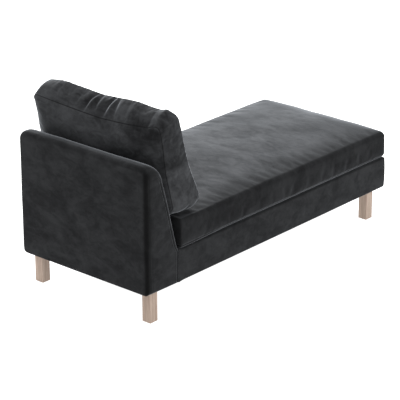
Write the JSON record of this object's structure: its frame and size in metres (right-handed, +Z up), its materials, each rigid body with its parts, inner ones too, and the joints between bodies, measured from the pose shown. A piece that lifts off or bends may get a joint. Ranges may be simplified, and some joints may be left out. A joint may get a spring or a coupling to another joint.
{
  "type": "daybed",
  "caption": "Upholstered daybed with one low backrest, a loose seat cushion, a loose back cushion and square wooden legs.",
  "frame": {"origin": "on the floor, under the middle of the plan", "axes": "+X across the width, +Y along the length towards the backrest, +Z up"},
  "size_m": [0.821, 1.79, 0.9702],
  "materials": {
    "leg_wood": "matte",
    "glide_felt": "matte",
    "frame_board": "matte",
    "frame_softwood": "matte",
    "dark_steel": "satin",
    "spring_steel": "satin",
    "zinc_steel": "satin",
    "felt": "matte",
    "wadding": "matte",
    "foam": "matte",
    "deck_velvet": "matte",
    "dust_cloth": "matte",
    "cushion_velvet": "matte",
    "body_velvet": "matte",
    "zip_tape": "matte",
    "zip_metal": "satin"
  },
  "bodies": {
    "frame": {"rail_left": "frame_softwood", "rail_right": "frame_softwood", "rail_foot": "frame_softwood", "rail_head": "frame_softwood", "cross_rails": "frame_softwood", "corner_blocks": "frame_softwood", "block_screws": "dark_steel", "leg_tee_nuts": "zinc_steel", "leg_bolts": "zinc_steel", "leg_rear_left": "leg_wood", "leg_rear_right": "leg_wood", "leg_foot_left": "leg_wood", "leg_foot_right": "leg_wood", "leg_glides": "glide_felt", "zigzag_springs": "spring_steel", "spring_clips": "spring_steel", "spring_clip_nails": "dark_steel", "spring_felt": "felt", "deck_pad": "foam", "deck_cloth": "deck_velvet", "base_wadding_left": "wadding", "base_wadding_right": "wadding", "base_wadding_foot": "wadding", "base_cover_left": "body_velvet", "base_cover_right": "body_velvet", "base_cover_foot": "body_velvet", "dust_cover": "dust_cloth", "dust_cover_staples": "zinc_steel", "back_board_left": "frame_board", "back_board_right": "frame_board", "back_post_left": "frame_softwood", "back_post_right": "frame_softwood", "back_top_rail": "frame_softwood", "back_lower_rail": "frame_softwood", "back_front_board": "frame_board", "back_rear_board": "frame_board", "back_front_foam": "foam", "back_top_foam": "foam", "back_rear_wadding": "wadding", "back_wadding_left": "wadding", "back_wadding_right": "wadding", "back_cover_rear": "body_velvet", "back_cover_top": "body_velvet", "back_cover_front": "body_velvet", "back_cover_side_left": "body_velvet", "back_cover_side_right": "body_velvet", "post_bolts": "zinc_steel", "post_bolt_washers": "zinc_steel", "post_tee_nuts": "zinc_steel"},
    "seat_cushion": {"seat_cushion_core": "foam", "seat_cushion_cover": "cushion_velvet", "seat_zip_chain": "zip_tape"},
    "seat_zip_slider": {"seat_zip_slider": "zip_metal"},
    "seat_zip_pull": {"seat_zip_pull": "zip_metal"},
    "back_cushion": {"back_cushion_core": "wadding", "back_cushion_cover": "cushion_velvet", "back_zip_chain": "zip_tape"},
    "back_zip_slider": {"back_zip_slider": "zip_metal"},
    "back_zip_pull": {"back_zip_pull": "zip_metal"}
  },
  "joints": [
    {"name": "seat_cushion_lift", "type": "slide", "parent": "frame", "child": "seat_cushion", "axis": [0, 0, 1], "range_m": [0, 0.6]},
    {"name": "back_cushion_lift", "type": "slide", "parent": "seat_cushion", "child": "back_cushion", "axis": [0, 0, 1], "range_m": [0, 0.5]},
    {"name": "seat_zip_slide", "type": "slide", "parent": "seat_cushion", "child": "seat_zip_slider", "axis": [-1, 0, 0], "range_m": [0, 0.6]},
    {"name": "seat_zip_pull_swing", "type": "hinge", "parent": "seat_zip_slider", "child": "seat_zip_pull", "pos_m": [0.3, 0.6776, 0.397], "axis": [0, 0, -1], "range_deg": [0, 170]},
    {"name": "back_zip_slide", "type": "slide", "parent": "back_cushion", "child": "back_zip_slider", "axis": [-1, 0, 0], "range_m": [0, 0.6]},
    {"name": "back_zip_pull_swing", "type": "hinge", "parent": "back_zip_slider", "child": "back_zip_pull", "pos_m": [0.3, 0.685, 0.4654], "axis": [0, 1, 0], "range_deg": [-85, 85]}
  ]
}
